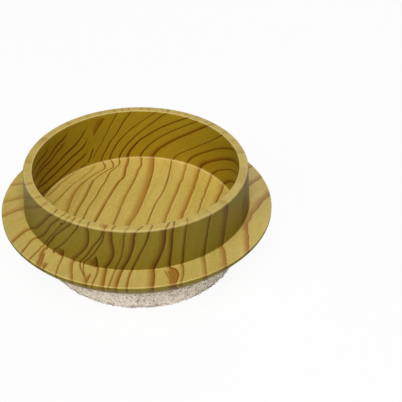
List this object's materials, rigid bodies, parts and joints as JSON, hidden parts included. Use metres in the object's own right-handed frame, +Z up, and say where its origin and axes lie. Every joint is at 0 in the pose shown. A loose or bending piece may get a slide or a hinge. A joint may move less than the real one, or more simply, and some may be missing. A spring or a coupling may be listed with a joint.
{
  "type": "castor cup",
  "caption": "Round cup with a broad saucer-shaped flange on a thick felt pad, which holds a furniture castor and keeps it off the floor.",
  "frame": {"origin": "centre of the felt pad's face on the floor", "axes": "+Z up along the cup's axis, out of its mouth"},
  "size_m": [0.08, 0.08, 0.031],
  "materials": {
    "grained_plastic": "satin moulded plastic with a printed wood grain",
    "heather_felt": "thick heather felt"
  },
  "bodies": {
    "root": {"cup": "grained_plastic", "felt_pad": "heather_felt"}
  },
  "joints": []
}
